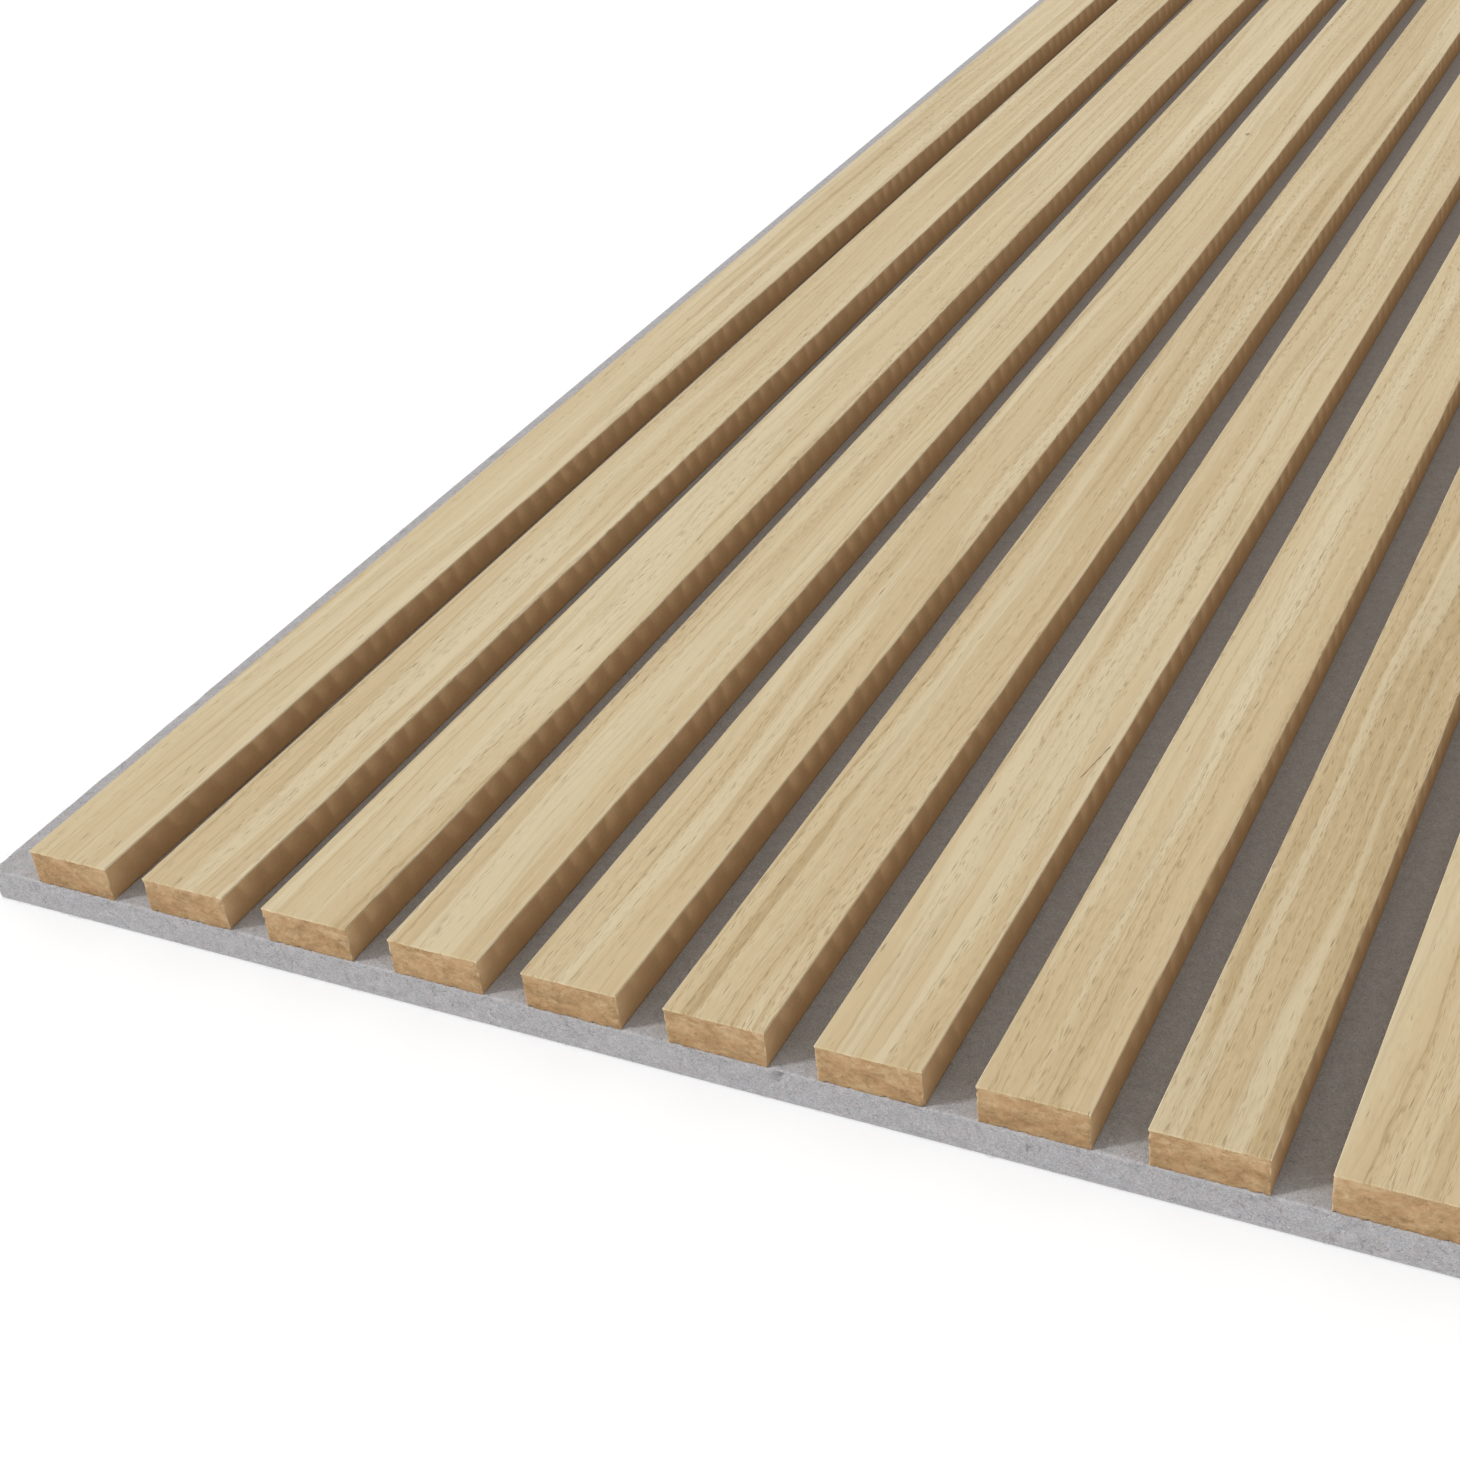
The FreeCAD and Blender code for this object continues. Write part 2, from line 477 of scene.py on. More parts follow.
def tube_faces(count, stations, sides):
    """Walls and ends of closed tubes whose points are numbered tube by tube and ring by ring, and the
    bake map of both. On the map each tube has one cell of a square grid, its length going across and
    its turn going up, with its two ends as small discs below."""
    numbers = np.arange(count * stations * sides).reshape(count, stations, sides)
    after = np.roll(numbers, -1, 2)
    walls = np.stack([numbers[:, :-1], after[:, :-1], after[:, 1:], numbers[:, 1:]], -1)
    ends = np.concatenate([numbers[:, 0, ::-1], numbers[:, -1]])
    grid = math.ceil(math.sqrt(count))
    cell = np.stack([np.arange(count) % grid, np.arange(count) // grid], -1)
    station, side = np.meshgrid(np.arange(stations - 1), np.arange(sides), indexing="ij")
    wall_x = np.stack([station, station, station + 1, station + 1], -1)
    wall_x = TUBE_WALL[0] + TUBE_WALL_SIZE[0] * wall_x / (stations - 1)
    wall_y = np.stack([side, side + 1, side + 1, side], -1)
    wall_y = TUBE_WALL[1] + TUBE_WALL_SIZE[1] * wall_y / sides
    wall_places = (cell[:, None, None, None] + np.stack([wall_x, wall_y], -1)) / grid
    turn = np.arange(sides) * 2 * np.pi / sides
    disc = TUBE_DISC * np.stack([np.cos(turn), np.sin(turn)], -1)
    first_end = cell[:, None] + TUBE_DISC_PLACES[0] + disc[::-1]
    last_end = cell[:, None] + TUBE_DISC_PLACES[1] + disc
    end_places = np.concatenate([first_end, last_end]) / grid
    return walls.reshape(-1, 4), ends, wall_places, end_places


def hair_strands(roots, normals, seed):
    """Points of thin three-sided tubes. A strand's middle line runs from its root in a random heading
    along the surface, bows sideways as a sine of its length and rises from the surface as another
    sine. Where it would go under the board it lies level with the back. Its radius falls evenly to a
    third at the tip."""
    draw = np.random.default_rng(seed)
    count = len(roots)
    heading = np.cross(normals, draw.normal(size=(count, 3)))
    heading /= np.linalg.norm(heading, axis=1, keepdims=True)
    sideways = np.cross(normals, heading)
    length = draw.uniform(*HAIR_LENGTHS, count) * MM
    bow = length * draw.normal(0, HAIR_BOW, count)
    lift = HAIR_LIFT * draw.uniform(HAIR_LEAST_LIFT, 1.0, count) ** 2
    share = np.linspace(0, 1, HAIR_STATIONS)
    turn = np.arange(HAIR_SIDES) * 2 * np.pi / HAIR_SIDES
    middle = (
        roots[:, None]
        + heading[:, None] * (length[:, None] * share)[..., None]
        + sideways[:, None] * (bow[:, None] * np.sin(np.pi * share * HAIR_SWING))[..., None]
        + normals[:, None] * (lift[:, None] * np.sin(np.pi * share))[..., None]
    )
    middle[..., 2] = np.maximum(middle[..., 2], felt_low[2] + HAIR_RADIUS)
    radius = (HAIR_RADIUS * (1 - HAIR_TAPER * share))[None, :, None, None]
    ring = sideways[:, None] * np.cos(turn)[:, None] + normals[:, None] * np.sin(turn)[:, None]
    return (middle[:, :, None] + radius * ring[:, None]).reshape(-1, 3)


def hair_roots(seed):
    """Places on the felt, with their outward directions, drawn evenly over each part of it: the front
    face and its upper arris, the lip beside the first slat, the other three edges, and the open strips
    between the slats. The lip and the strips have more of them near the front."""
    draw = np.random.default_rng(seed)
    low, high = felt_low, felt_high
    gap_middles = (slat_centers[:-1] + slat_centers[1:]) / 2
    up = np.array([0, 0, 1.0])
    front = np.array([0, -1.0, 0])
    left = np.array([-1.0, 0, 0])

    def spread(count, x, y, z, normal):
        """Roots drawn evenly between two places on each axis, all with one outward direction."""
        place = np.stack([draw.uniform(*x, count), draw.uniform(*y, count), draw.uniform(*z, count)], 1)
        return place, np.tile(normal, (count, 1))

    width = (low[0], high[0])
    length = (low[1], high[1])
    height = (low[2] + ROOT_MARGIN, high[2])
    lip = (low[0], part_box("slat_core_01")[0][0])
    face = (high[2], high[2])
    front_end = (low[1], low[1])
    parts = [
        spread(FRONT_HAIRS, width, front_end, height, front),
        spread(ARRIS_HAIRS, width, front_end, (high[2] - ROOT_MARGIN, high[2]), up + front),
        spread(NEAR_LIP_HAIRS, lip, (low[1], low[1] + NEAR_LIP), face, up),
        spread(EDGE_HAIRS, lip, length, face, up),
        spread(EDGE_HAIRS, (low[0], low[0]), length, height, left),
        spread(EDGE_HAIRS, (high[0], high[0]), length, height, -left),
        spread(EDGE_HAIRS, width, (high[1], high[1]), height, -front),
    ]
    for middle in gap_middles:
        strip = (middle - GAP_HALF, middle + GAP_HALF)
        parts.append(spread(NEAR_GAP_HAIRS, strip, (low[1], low[1] + NEAR_GAP), face, up))
        parts.append(spread(GAP_HAIRS, strip, length, face, up))
    places = np.concatenate([place for place, _ in parts])
    normals = np.concatenate([normal for _, normal in parts])
    return places, normals / np.linalg.norm(normals, axis=1, keepdims=True)


def hair_material():
    """Single fibres, from dark grey to nearly white: the shade is noise that changes from hair to
    hair, with a soft shine."""
    material, start = new_material("felt_fibre")
    shade = start.own("Object").cells(5 * MM, 5 * MM, 5 * MM).noise(1.0)
    inputs = {
        "Base Color": shade.ramp(HAIR_GREYS),
        "Roughness": 0.75 - shade * 0.3,
        "Specular IOR Level": 0.3,
    }
    start.finish(inputs)
    return material


root_places, root_normals = hair_roots(seed=11)
hair_points = hair_strands(root_places, root_normals, seed=12)
hair_walls, hair_ends, *hair_places = tube_faces(len(root_places), HAIR_STATIONS, HAIR_SIDES)
felt_hairs = add_piece("felt_hairs", hair_points, hair_walls, hair_ends)
add_bake_map(felt_hairs, *hair_places)
felt_hairs.data.materials.append(hair_material())
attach(felt_hairs, "root")


# Slat cores
# Bars ripped from medium-density fibreboard and glued to the felt, flush with its ends. The cross-cut
# ends show matted fibre with small pits, and the rip saw has left a slanting ripple on the sides.

CORE_ARRIS = 0.22 * MM
CORE_GRID = 0.5 * MM                # grid on the cut ends
CORE_GRID_GROWTH = 1.6
CORE_FIRST_ROW = 0.2 * MM
CORE_ROW_GROWTH = 1.55
CORE_WIDEST_ROW = 130 * MM
FLAKE_HEIGHT = 0.02 * MM            # unevenness of the ends
FLAKE_LENGTH = 2.4 * MM
FLAKE_SQUEEZE = (1, 1, 1.6)         # the flakes lie flat
PIT_DEPTH = 0.14 * MM
PIT_LENGTH = 1.3 * MM
PIT_LEVEL = 1.4                     # a pit begins where its noise is higher than this
CRUMBLE_DEPTH = 0.22 * MM           # how far the arrises at the ends draw in
CRUMBLE_LENGTH = 1.9 * MM
CRUMBLE_LEVEL = -0.2                # they draw in where their noise is higher than this
CRUMBLE_MOST = 2                    # limit of what the noise has above that
CRUMBLE_REACH = 1.1 * MM
RIPPLE_PITCH = 10 * MM              # saw marks along the sides
RIPPLE_SLANT = 0.43                 # how far a mark moves along the slat as it goes down
CORE_BROWNS = [                     # matted fibre of the ends
    (0.34, (0.27, 0.163, 0.075, 1)),
    (0.5, (0.4, 0.262, 0.133, 1)),
    (0.66, (0.54, 0.385, 0.222, 1)),
]
WARM_BROWN = (0.46, 0.262, 0.125, 1)
CURL_BROWN = (0.25, 0.135, 0.06, 1)
PIT_BROWN = (0.16, 0.09, 0.04, 1)
SAWN_BROWN = (0.37, 0.229, 0.109, 1)  # the sides
SAWN_PALE = (0.66, 0.465, 0.257, 1)
SAWN_WARM = (0.47, 0.285, 0.15, 1)
# Worn fibre and painted highlight on the upright arrises at the ends.
WORN_AND_HIGHLIGHT_TAN = (0.66, 0.52, 0.34, 1)
# Painted shade along the foot, where the bar meets the felt.
FOOT_SHADE_BROWN = (0.17, 0.1, 0.05, 1)
CORE_MAP = [                        # the same for the cores, whose two ends share a column
    (1, 0.92, 0.96, 0.0, 1.0),
    (1, 0.96, 1.0, 0.0, 1.0),
    (4, 0.0, 0.36, 0.0, 1.0),
    (4, 0.36, 0.72, 0.0, 1.0),
    (1, 0.72, 0.92, 0.0, 0.5),
    (1, 0.72, 0.92, 0.5, 1.0),
]


def core_bar(low, high, seed):
    """A bar as a rounded box skin, its bake map, and each point's distance from the upright arrises.
    On the ends, fibre unevenness moves the points, and where a second noise is high a pit sinks in.
    The arrises round the ends crumble: near them, where a third noise is high, the points draw in
    from the end and from the side."""
    columns = spaced(low[0], high[0], CORE_FIRST_ROW, CORE_GRID_GROWTH, CORE_GRID)
    rows = spaced(low[1], high[1], CORE_FIRST_ROW, CORE_ROW_GROWTH, CORE_WIDEST_ROW)
    layers = spaced(low[2], high[2], CORE_FIRST_ROW, CORE_GRID_GROWTH, CORE_GRID)
    lattice, faces, face_sides = box_skin(columns, rows, layers)
    places = bake_places(lattice, faces, face_sides, CORE_MAP)
    points, outward = round_arrises(lattice, low, high, CORE_ARRIS)
    end_face = np.abs(outward[:, 1])
    flakes = unevenness(points * FLAKE_SQUEEZE, FLAKE_LENGTH, seed)
    pits = np.clip(unevenness(points, PIT_LENGTH, seed + 1) - PIT_LEVEL, 0, 1)
    crumbs = np.clip(unevenness(points, CRUMBLE_LENGTH, seed + 2) - CRUMBLE_LEVEL, 0, CRUMBLE_MOST)
    from_end = np.minimum(points[:, 1] - low[1], high[1] - points[:, 1])
    from_side = np.minimum(points[:, 0] - low[0], high[0] - points[:, 0])
    from_foot = points[:, 2] - low[2]
    from_arris = np.maximum(np.minimum(from_side, from_foot), from_end)
    relief = end_face * (FLAKE_HEIGHT * flakes - PIT_DEPTH * pits)
    relief -= fade(from_arris, 0, CRUMBLE_REACH) * CRUMBLE_DEPTH * crumbs
    return points + outward * relief[:, None], faces, places, np.maximum(from_side, from_end)


def fibreboard_material():
    """Fibreboard: soft patches from brown to tan, warmer in places, with a few thin curled lines of darker
    fibre and a few pits. Painted shade makes it darker towards the foot, where the bar meets the felt, and
    paler towards the top. The sawn sides are browner and darken downwards with that painted shade, with a
    pale wedge for each saw mark, which hangs from the face and comes and goes along the bar. The upright
    arrises at the ends are paler in places, worn fibre and painted highlight together, and painted shade
    darkens the foot in places where the bar meets the felt."""
    material, start = new_material("sawn_fibreboard")
    place = start.own("Object")
    side = abs(start.own("Normal").part("X")).step(0.4, 0.7)
    from_arris = start.stored("from_arris")
    along = place.part("Y")
    up = place.part("Z")
    # Painted shade: darker towards the foot, where the bar meets the felt, paling up to 10 mm above it.
    rise = up.step(core_foot, core_foot + 10 * MM)
    clouds = place.cells(7 * MM, 7 * MM, 4 * MM).noise(1.0, 0.5, 0.6)
    flakes = place.cells(2.4 * MM, 2.4 * MM, 1.6 * MM).noise(2.0, 0.5, 1.0)
    warm = place.moved(0.3, 0, 0.4).cells(5 * MM, 5 * MM, 3 * MM).noise(2.0).step(0.42, 0.68)
    fibres = place.cells(0.8 * MM, 1.6 * MM, 0.5 * MM).noise(3.0, 0.6, 1.0)
    curl_level = place.moved(0.2, 0, 0.1).cells(4.5 * MM, 4.5 * MM, 2.6 * MM).noise(1.0, 0.5, 1.4)
    curls = abs(curl_level - 0.5).step(0.03, 0.0) * clouds.step(0.56, 0.44)
    pit_place = place.moved(0.5, 0, 0).cells(1.1 * MM, 1.1 * MM, 0.8 * MM)
    pits = pit_place.noise(1.0, 0.5, 0.6).step(0.7, 0.77)
    sway = place.cells(24 * MM, 24 * MM, 24 * MM).noise(1.0) * (9 * MM)
    turns = (along + up * RIPPLE_SLANT + sway) * (1 / RIPPLE_PITCH)
    phase = start.math("FRACT", turns)
    present = place.moved(0.1, 0, 0).cells(40 * MM, 40 * MM, 60 * MM).noise(1.0).step(0.3, 0.6)
    hanging = up.step(core_foot + 1.0 * MM, core_foot + 8 * MM)
    wedge = phase.step(0.0, 0.2) * phase.step(0.9, 0.2) * hanging * (present * 0.7 + 0.3)
    flaky = clouds * 0.34 + flakes * 0.38 + fibres * 0.28 + rise * 0.1 - 0.058
    colour = flaky.ramp(CORE_BROWNS)
    colour = (warm * 0.4).mix(colour, WARM_BROWN)
    colour = (curls * 0.45).mix(colour, CURL_BROWN)
    colour = (pits * 0.6).mix(colour, PIT_BROWN)
    paleness = wedge * 0.47 + fibres * 0.3 + flakes * 0.3 + rise * 0.12 - 0.08
    sawn = paleness.mix(SAWN_BROWN, SAWN_PALE)
    sawn = (clouds.step(0.45, 0.65) * 0.3).mix(sawn, SAWN_WARM)
    colour = side.mix(colour, sawn)
    # Pale in places on the upright arrises at the ends: worn fibre and painted highlight.
    wear_and_highlight = place.moved(0, 0.3, 0.2).cells(3 * MM, 3 * MM, 3 * MM).noise(2.0).step(0.4, 0.6)
    colour = (from_arris.step(0.6 * MM, 0.1 * MM) * wear_and_highlight * 0.5).mix(colour, WORN_AND_HIGHLIGHT_TAN)
    # Painted shade in places along the foot, where the bar meets the felt.
    foot = up.step(core_foot + 1.1 * MM, core_foot + 0.1 * MM) * flakes.step(0.36, 0.6)
    colour = (foot * 0.55).mix(colour, FOOT_SHADE_BROWN)
    height = flakes * 0.2 + fibres * 0.18 - pits * 0.5 - curls * 0.15 + side * wedge * 0.4
    inputs = {
        "Base Color": colour,
        "Roughness": 0.82 + fibres * 0.15,
        "Specular IOR Level": 0.25,
        "Normal": height.bump(0.35, 0.3 * MM),
    }
    start.finish(inputs)
    return material


core_foot = felt_high[2]
sawn_fibreboard = fibreboard_material()
for number, name in enumerate(slat_names, 1):
    node = "slat_core_" + name
    low, high = np.array(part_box(node))
    core_points, core_faces, core_places, from_arris = core_bar(low, high, seed=100 * number)
    core = add_piece("core_bar_" + name, core_points, core_faces)
    add_bake_map(core, core_places)
    mark_points(core, "from_arris", "FLOAT", from_arris)
    core.data.materials.append(sawn_fibreboard)
    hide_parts(node)
    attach(core, "root")


# Slat veneers
# Sliced oak, glued to the face of the board before it was ripped, so each strip is as wide as its
# core and its long edges are cut clean. Each strip is another place of the log's sheet.

VENEER_GRID = 0.6 * MM              # grid across the strip
VENEER_EDGE_BREAK = 0.18 * MM       # sanded chamfer on the long edges
VENEER_SHARP = math.radians(30)     # edges that turn by more than this stay sharp
VENEER_FIRST_ROW = 0.3 * MM
VENEER_ROW_GROWTH = 1.4
VENEER_WIDEST_ROW = 70 * MM
FRAY_DEPTH = 0.05 * MM              # unevenness of the cross-cut ends
FRAY_LENGTH = 2.5 * MM
FRAY_REACH = 3 * MM
SPLINTER_DEPTH = 0.3 * MM
SPLINTER_LENGTH = 1.5 * MM
SPLINTER_LEVEL = 1.2                # a splinter begins where its noise is higher than this
RING_WIDTH = 4.2 * MM
SHEET_SHIFT = 0.37                  # from one strip's place on the sheet to the next one's, across it
SHEET_LENGTH = 9.0
SHEET_SEED = 330
CRACK_FOOT = (-22.2 * MM, -1078.6 * MM)   # a hairline crack in the seventh strip, to its right edge
CRACK_HEAD = (-19.3 * MM, -1061.0 * MM)
KNOT_PLACE = (-118 * MM, -568 * MM)       # a pin knot in the fifth strip
OAK_TONES = [
    (0.3, (0.485, 0.36, 0.19, 1)),
    (0.5, (0.59, 0.46, 0.268, 1)),
    (0.7, (0.675, 0.56, 0.356, 1)),
]
BAND_OAK = (0.725, 0.625, 0.425, 1)
FLECK_OAK = (0.71, 0.605, 0.4, 1)
LINE_BROWN = (0.37, 0.25, 0.12, 1)
PORE_BROWN = (0.3, 0.2, 0.09, 1)
SPLIT_BROWN = (0.2, 0.13, 0.06, 1)
CRACK_BROWN = (0.17, 0.11, 0.05, 1)
KNOT_BROWN = (0.2, 0.12, 0.06, 1)
# Chipped veneer on the long edges, made bright as a painted highlight.
WORN_AND_HIGHLIGHT_OAK = (0.88, 0.77, 0.57, 1)
VENEER_MAP = [                      # the same for the strips
    (5, 0.0, 0.87, 0.0, 1.0),
    (1, 0.87, 0.89, 0.0, 1.0),
    (1, 0.89, 0.915, 0.0, 1.0),
    (1, 0.915, 0.94, 0.0, 1.0),
    (1, 0.94, 1.0, 0.0, 0.5),
    (1, 0.94, 1.0, 0.5, 1.0),
]


def veneer_strip(low, high, seed):
    """A thin strip as a box skin, its bake map, and each point's distance from the long edges. The
    upper long edges are cut back to the plane that rises from the edge at 45 degrees, and the ends are
    frayed by noise and by splinters where a second noise is high."""
    flat_low = low[0] + VENEER_EDGE_BREAK
    flat_high = high[0] - VENEER_EDGE_BREAK
    columns = spaced(flat_low, flat_high, first=VENEER_GRID, growth=1.0, widest=VENEER_GRID)
    columns = np.concatenate([low[:1], columns, high[:1]])
    rows = spaced(low[1], high[1], VENEER_FIRST_ROW, VENEER_ROW_GROWTH, VENEER_WIDEST_ROW)
    layers = np.array([low[2], high[2] - VENEER_EDGE_BREAK, high[2]])
    points, faces, face_sides = box_skin(columns, rows, layers)
    places = bake_places(points, faces, face_sides, VENEER_MAP)
    from_edge = np.minimum(points[:, 0] - low[0], high[0] - points[:, 0])
    points[:, 2] = np.minimum(points[:, 2], high[2] - VENEER_EDGE_BREAK + from_edge)
    middle = (low[1] + high[1]) / 2
    from_end = np.minimum(points[:, 1] - low[1], high[1] - points[:, 1])
    outwards = np.sign(points[:, 1] - middle)
    # One line of noise across the strip for each end.
    across = points * [1, 0, 0] + [0, seed, 0] * outwards[:, None]
    splinters = np.clip(unevenness(across, SPLINTER_LENGTH, seed + 1) - SPLINTER_LEVEL, 0, 1)
    frayed = FRAY_DEPTH * unevenness(across, FRAY_LENGTH, seed) + SPLINTER_DEPTH * splinters
    points[:, 1] -= outwards * frayed * fade(from_end, 0, FRAY_REACH)
    return points, faces, places, from_edge


def oak_material():
    """Pale oak, read from each strip's place on the sheet (across, along, distance from the long
    edge). The fibre's place is the sheet's place pushed sideways by slow and quick noise. Growth rings
    repeat across the fibre at uneven steps, and their early wood holds most pores, which are short
    dark dashes, more of them in the darker strips. Each ring begins with a narrow darker line, strong
    in some places and lost in others. Pale bands and flecks and thin dark lines also follow the fibre.
    One crack lies where the distance from a straight line is small, and one knot where a stretched
    distance from its middle is."""
    material, start = new_material("pale_oak")
    grain = start.stored("grain", "Vector")
    shade = start.stored("shade")
    from_edge = grain.part("Z")
    drift = (grain.cells(45 * MM, 420 * MM, 1).noise(1.0) - 0.5) * (18 * MM)
    sway = (grain.cells(13 * MM, 80 * MM, 1).noise(1.0) - 0.5) * (4 * MM)
    wobble = (grain.cells(2.6 * MM, 10 * MM, 1).noise(1.0) - 0.5) * (0.9 * MM)
    fibre = grain.moved(drift + sway + wobble, 0, 0)
    uneven = fibre.cells(9 * MM, 900 * MM, 1).noise(1.0) * 3.2
    ring = start.math("FRACT", fibre.part("X") * (1 / RING_WIDTH) + uneven)
    early = ring.step(0.0, 0.12) * ring.step(0.75, 0.2)
    ring_line = ring.step(0.0, 0.07) * ring.step(0.24, 0.09)
    ring_zone = fibre.moved(0.5, 1, 0).cells(8 * MM, 200 * MM, 1).noise(1.0).step(0.34, 0.6)
    bands = fibre.moved(0.3, 2, 0).cells(4.2 * MM, 280 * MM, 1).noise(1.5, 0.5)
    tone = grain.cells(60 * MM, 700 * MM, 1).noise(1.0)
    silk = fibre.cells(0.6 * MM, 18 * MM, 1).noise(2.0, 0.5)
    pale_band = fibre.moved(0.2, 5, 0).cells(7 * MM, 330 * MM, 1).noise(1.0).step(0.54, 0.62)
    dashes = fibre.cells(0.3 * MM, 5 * MM, 1).noise(1.0, 0.5).step(0.53, 0.65)
    pore_level = fibre.moved(0, 3, 0).cells(8 * MM, 260 * MM, 1).noise(1.0) - shade * 0.1
    pore_zone = pore_level.step(0.38, 0.56)
    pores = dashes * (early * 0.7 + 0.3) * (pore_zone * 0.85 + 0.15)
    line_level = fibre.moved(0.4, 7, 0).cells(2.6 * MM, 130 * MM, 1).noise(1.0)
    line_zone = fibre.moved(0.1, 9, 0).cells(4 * MM, 70 * MM, 1).noise(1.0).step(0.42, 0.6)
    lines = abs(line_level - 0.5).step(0.05, 0.0) * line_zone
    fleck_place = grain.moved(0.6, 6, 0).cells(1.5 * MM, 9 * MM, 1)
    flecks = fleck_place.noise(1.0, 0.5, 0.8).step(0.6, 0.74)
    splits = fibre.moved(0.7, 4, 0).cells(0.42 * MM, 9 * MM, 1).noise(0.5).step(0.72, 0.79)
    place = start.own("Object")
    x = place.part("X")
    y = place.part("Y")
    crack_slope = (CRACK_HEAD[0] - CRACK_FOOT[0]) / (CRACK_HEAD[1] - CRACK_FOOT[1])
    beside_crack = x - CRACK_FOOT[0] - (y - CRACK_FOOT[1]) * crack_slope + (silk - 0.5) * (0.6 * MM)
    crack = abs(beside_crack).step(0.24 * MM, 0.08 * MM)
    crack = crack * y.step(CRACK_FOOT[1] - 1 * MM, CRACK_FOOT[1] + 3 * MM)
    crack = crack * y.step(CRACK_HEAD[1] + 1 * MM, CRACK_HEAD[1])
    knot_place = place.moved(-KNOT_PLACE[0], -KNOT_PLACE[1], 0).cells(0.9 * MM, 1.7 * MM, 1)
    from_knot = start.node("ShaderNodeVectorMath", {"operation": "LENGTH"}, {0: knot_place}, "Value")
    knot = from_knot.step(1.4, 0.6)
    mixed = bands * 0.42 + tone * 0.25 + silk * 0.09 - ring_line * ring_zone * 0.19
    mixed = mixed + shade * 0.08 + 0.116
    colour = mixed.ramp(OAK_TONES)
    colour = (pale_band * 0.45).mix(colour, BAND_OAK)
    colour = (flecks * 0.22).mix(colour, FLECK_OAK)
    colour = (lines * 0.26).mix(colour, LINE_BROWN)
    colour = (pores * 0.62).mix(colour, PORE_BROWN)
    colour = (splits * 0.7).mix(colour, SPLIT_BROWN)
    colour = (crack * 0.85).mix(colour, CRACK_BROWN)
    colour = (knot * 0.75).mix(colour, KNOT_BROWN)
    # Pale in places along the long edges: chipped veneer, made bright as a painted highlight.
    edge_wear_and_highlight = grain.moved(0.3, 8, 0).cells(6 * MM, 30 * MM, 1).noise(2.0).step(0.42, 0.68)
    colour = (from_edge.step(0.3 * MM, 0.1 * MM) * edge_wear_and_highlight * 0.8).mix(colour, WORN_AND_HIGHLIGHT_OAK)
    height = silk * 0.4 - ring_line * 0.25 - pores * 0.7 - splits - lines * 0.25 - crack * 1.5
    inputs = {
        "Base Color": colour,
        "Roughness": 0.56 + silk * 0.12 + pores * 0.2,
        "Specular IOR Level": 0.4,
        "Normal": height.bump(0.3, 0.15 * MM),
    }
    start.finish(inputs)
    return material


pale_oak = oak_material()
sheet_draw = np.random.default_rng(SHEET_SEED)
for number, name in enumerate(slat_names, 1):
    node = "slat_veneer_" + name
    low, high = np.array(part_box(node))
    strip_points, strip_faces, strip_places, from_edge = veneer_strip(low, high, seed=10 * number)
    strip = add_piece("veneer_strip_" + name, strip_points, strip_faces)
    add_bake_map(strip, strip_places)
    strip.data.set_sharp_from_angle(angle=VENEER_SHARP)
    sheet_place = [SHEET_SHIFT * number, sheet_draw.uniform(0, SHEET_LENGTH), 0]
    sheet_points = strip_points + sheet_place
    sheet_points[:, 2] = from_edge
    mark_points(strip, "grain", "FLOAT_VECTOR", sheet_points)
    mark_points(strip, "shade", "FLOAT", np.full(len(strip_points), sheet_draw.normal()))
    strip.data.materials.append(pale_oak)
    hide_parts(node)
    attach(strip, "root")


# Staples
# Wire staples driven from behind through the felt into each core, crown across the slat. The wire is
# zinc-coated and slightly flattened, and its crown lies sunk in the felt's back.

WIRE_THICKNESS = 0.7 * MM
WIRE_BEND = 0.9 * MM                # radius of the middle line at the two corners
BEND_STATIONS = 4
WIRE_SIDES = 8
WIRE_SHARP = math.radians(50)
ZINC_BRIGHT = (0.66, 0.66, 0.65, 1)
ZINC_DULL = (0.46, 0.47, 0.49, 1)


def staple_wires():
    """Points of all staples at once, by staple, station and turn. The middle line goes down one leg,
    round a quarter circle, along the crown, round the other quarter and up the other leg. The section
    is a flattened circle, with sines and cosines drawn towards a rounded rectangle by a power of one
    half."""
    reach = crown_half - WIRE_THICKNESS / 2
    crown = staple_low[2] + WIRE_THICKNESS / 2
    bend = np.linspace(0, np.pi / 2, BEND_STATIONS)
    corner_x = -reach + WIRE_BEND * (1 - np.cos(bend))
    corner_z = crown + WIRE_BEND * (1 - np.sin(bend))
    half_x = np.concatenate([[-reach, -reach], corner_x])
    half_z = np.concatenate([[staple_high[2], felt_high[2]], corner_z])
    line_x = np.concatenate([half_x, -half_x[::-1]])
    line_z = np.concatenate([half_z, half_z[::-1]])
    heading = np.stack([np.gradient(line_x), np.gradient(line_z)], 1)
    heading /= np.linalg.norm(heading, axis=1, keepdims=True)
    turn = -(np.arange(WIRE_SIDES) + 0.5) * 2 * np.pi / WIRE_SIDES
    wide = STAPLE_WIRE_WIDTH / 2 * np.sign(np.cos(turn)) * np.abs(np.cos(turn)) ** 0.5
    thick = WIRE_THICKNESS / 2 * np.sign(np.sin(turn)) * np.abs(np.sin(turn)) ** 0.5
    x = line_x[:, None] - heading[:, 1:] * thick
    z = line_z[:, None] + heading[:, :1] * thick
    y = np.broadcast_to(wide, x.shape)
    one = np.stack([x, y, z], -1)
    x_places, y_places = np.meshgrid(slat_centers, staple_rows, indexing="ij")
    places = np.stack([x_places.ravel(), y_places.ravel(), np.zeros(x_places.size)], 1)
    return one[None] + places[:, None, None]


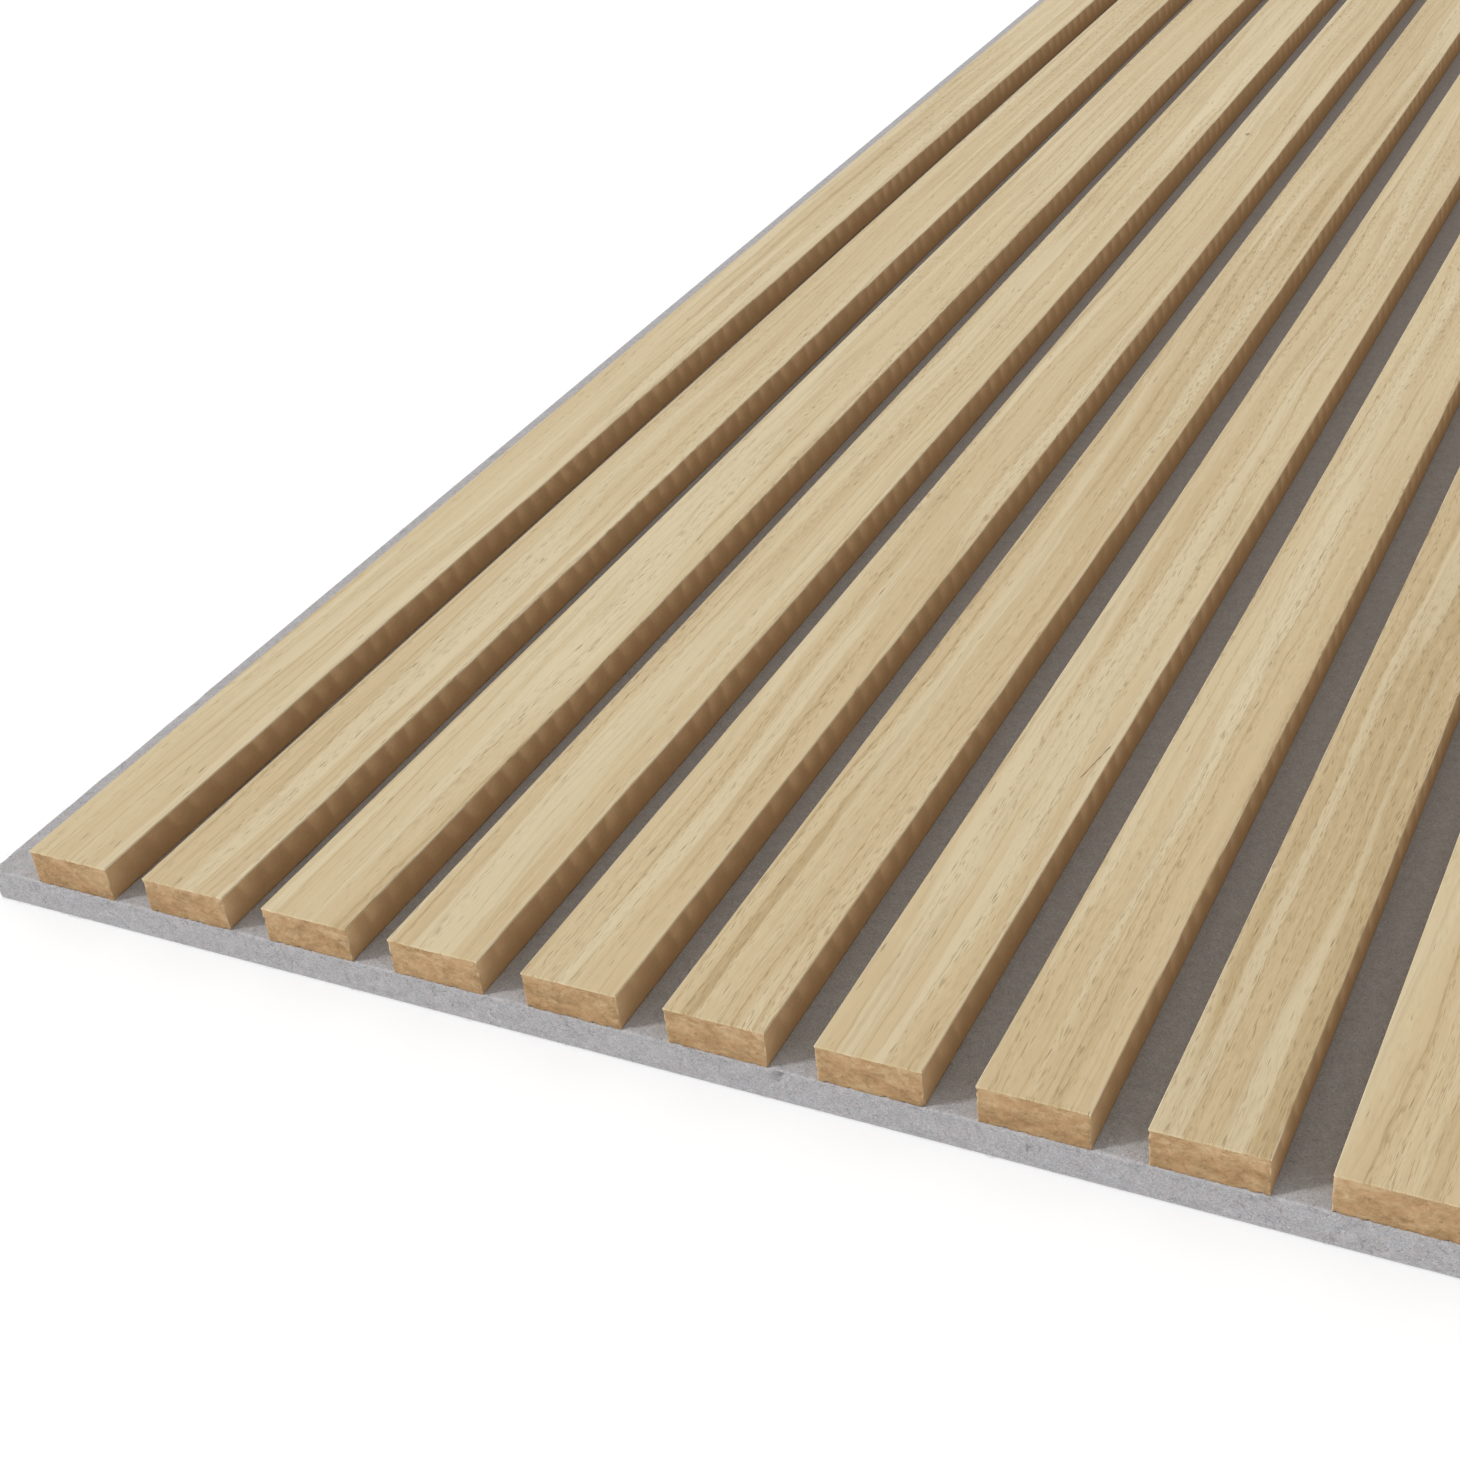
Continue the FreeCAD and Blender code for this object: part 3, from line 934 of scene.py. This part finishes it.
def wire_material():
    """Zinc-coated wire: bright grey metal with drawing lines along it and dull spots of zinc bloom."""
    material, start = new_material("zinc_wire")
    place = start.own("Object")
    drawn = place.cells(6 * MM, 0.08 * MM, 3 * MM).noise(2.0)
    bloom = place.cells(1.4 * MM, 1.4 * MM, 1.4 * MM).noise(2.0).step(0.45, 0.7)
    inputs = {
        "Base Color": (bloom * 0.6 + drawn * 0.3).mix(ZINC_BRIGHT, ZINC_DULL),
        "Roughness": 0.28 + bloom * 0.25 + drawn * 0.1,
        "Metallic": 1.0,
        "Normal": drawn.bump(0.2, 0.05 * MM),
    }
    start.finish(inputs)
    return material


wire_points = staple_wires()
wire_walls, wire_ends, *wire_places = tube_faces(*wire_points.shape[:3])
staples = add_piece("staple_wires", wire_points.reshape(-1, 3), wire_walls, wire_ends)
add_bake_map(staples, *wire_places)
staples.data.set_sharp_from_angle(angle=WIRE_SHARP)
staples.data.materials.append(wire_material())
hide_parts("rear_staples")
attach(staples, "root")


# Studio
# A white floor under the panel, an even white surround as fill, and one large soft lamp at the left
# front, low enough that each slat shades the gap beside it.

WHITE = (1, 1, 1, 1)
BLACK = (0, 0, 0, 1)
FLOOR_HALF = 30.0
FLOOR_WHITE = (0.93, 0.93, 0.93, 1)
FLOOR_LIFT = 0.12                   # what the camera sees of the floor beyond its own lit white
FILL = 0.67                         # strength of the surround where it lights things
KEY = 0.63 * math.pi                # white facing the lamp shows 0.63
KEY_HEADING = (-0.82, -0.57)
KEY_ELEVATION = math.radians(32)
KEY_WIDTH = math.radians(9)


def seen_directly(start):
    """1 where the camera, a reflection or glass looks, and 0 for the light that falls on things."""
    camera = start.node("ShaderNodeLightPath", {}, {}, "Is Camera Ray")
    glossy = start.node("ShaderNodeLightPath", {}, {}, "Is Glossy Ray")
    glass = start.node("ShaderNodeLightPath", {}, {}, "Is Transmission Ray")
    return start.math("MAXIMUM", start.math("MAXIMUM", camera, glossy), glass)


def floor_material():
    """White floor that keeps the shadow, with a little light of its own for the camera only."""
    material, start = new_material("studio_white")
    inputs = {
        "Base Color": FLOOR_WHITE,
        "Roughness": 1.0,
        "Specular IOR Level": 0.0,
        "Emission Color": (seen_directly(start) * FLOOR_LIFT).mix(BLACK, WHITE),
        "Emission Strength": 1.0,
    }
    start.finish(inputs)
    return material


floor_reach = np.array([-FLOOR_HALF, FLOOR_HALF])
floor_x, floor_y = np.meshgrid(floor_reach, floor_reach, indexing="ij")
floor_points = np.stack([floor_x.ravel(), floor_y.ravel(), np.full(4, felt_low[2])], 1)
floor = add_piece("studio_floor", floor_points, np.array([[0, 2, 3, 1]]))
floor.data.materials.append(floor_material())

world = bpy.data.worlds.new("studio")
world.use_nodes = True
world.node_tree.nodes.clear()
surround = Signal(world.node_tree)
strength = seen_directly(surround) * (1 - FILL) + FILL
backdrop = surround.node("ShaderNodeBackground", {}, {"Color": WHITE, "Strength": strength})
surround.node("ShaderNodeOutputWorld", {}, {"Surface": backdrop})
bpy.context.scene.world = world

lamp = bpy.data.lights.new("key_lamp", "SUN")
lamp.energy = KEY
lamp.angle = KEY_WIDTH
lamp_object = bpy.data.objects.new("key_lamp", lamp)
level = math.cos(KEY_ELEVATION)
to_lamp = Vector((KEY_HEADING[0] * level, KEY_HEADING[1] * level, math.sin(KEY_ELEVATION)))
lamp_object.rotation_mode = "QUATERNION"
lamp_object.rotation_quaternion = to_lamp.to_track_quat("Z", "Y")
bpy.context.scene.collection.objects.link(lamp_object)


# Camera
# It stands in front of the panel, to the right of its middle, and looks down along the slats towards
# the left, slightly rolled.

CAMERA_PLACE = Vector((145.5, -1549.0, 364.0)) * MM
CAMERA_HEADING = math.radians(30.1)   # from the slats' direction, to the left
CAMERA_PITCH = math.radians(32.6)     # below the horizon
CAMERA_ROLL = math.radians(6.8)
CAMERA_LENS = 55.2
CAMERA_SENSOR = 36
CAMERA_NEAR = 10 * MM
CAMERA_FAR = 200

camera = bpy.data.objects.new("camera", bpy.data.cameras.new("camera"))
camera.data.sensor_width = CAMERA_SENSOR
camera.data.lens = CAMERA_LENS
camera.data.clip_start = CAMERA_NEAR
camera.data.clip_end = CAMERA_FAR
turn = Matrix.Rotation(CAMERA_HEADING, 4, "Z")
turn = turn @ Matrix.Rotation(math.pi / 2 - CAMERA_PITCH, 4, "X")
turn = turn @ Matrix.Rotation(-CAMERA_ROLL, 4, "Z")
camera.matrix_world = Matrix.Translation(CAMERA_PLACE) @ turn
bpy.context.scene.collection.objects.link(camera)
bpy.context.scene.camera = camera
bpy.context.scene.view_settings.view_transform = "Standard"
